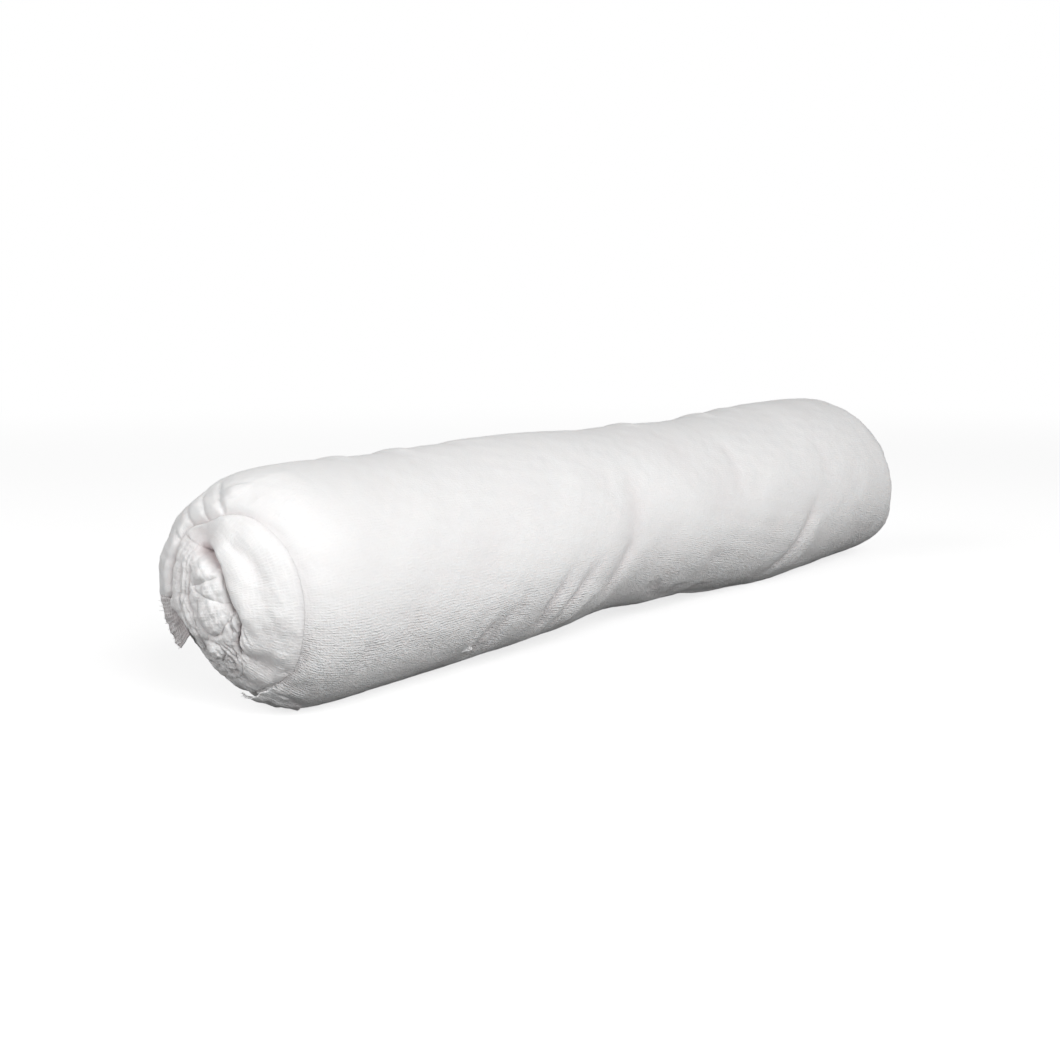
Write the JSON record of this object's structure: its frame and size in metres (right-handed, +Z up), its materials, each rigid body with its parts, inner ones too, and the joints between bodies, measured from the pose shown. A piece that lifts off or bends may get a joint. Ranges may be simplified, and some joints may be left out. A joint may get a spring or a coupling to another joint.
{
  "type": "cotton wool gauze roll",
  "caption": "Gauze-faced cotton wool wound into a soft roll with domed, spirally wound ends and frayed free edges, lying on a small flat spot.",
  "frame": {"origin": "on the surface that the roll lies on, under the middle of its length and width", "axes": "+X along the roll's axis from the near wound end to the far one, +Z up, -Y towards the side where the free edge lies low"},
  "size_m": [0.45, 0.0866, 0.0868],
  "materials": {
    "gauze": "matt white open-weave cotton gauze over soft cotton wool",
    "frayed_gauze": "matt white cotton gauze with a ragged, frayed edge"
  },
  "bodies": {
    "root": {"gauze_roll": "gauze", "frayed_tongue": "frayed_gauze", "frayed_corner": "frayed_gauze"}
  },
  "joints": []
}
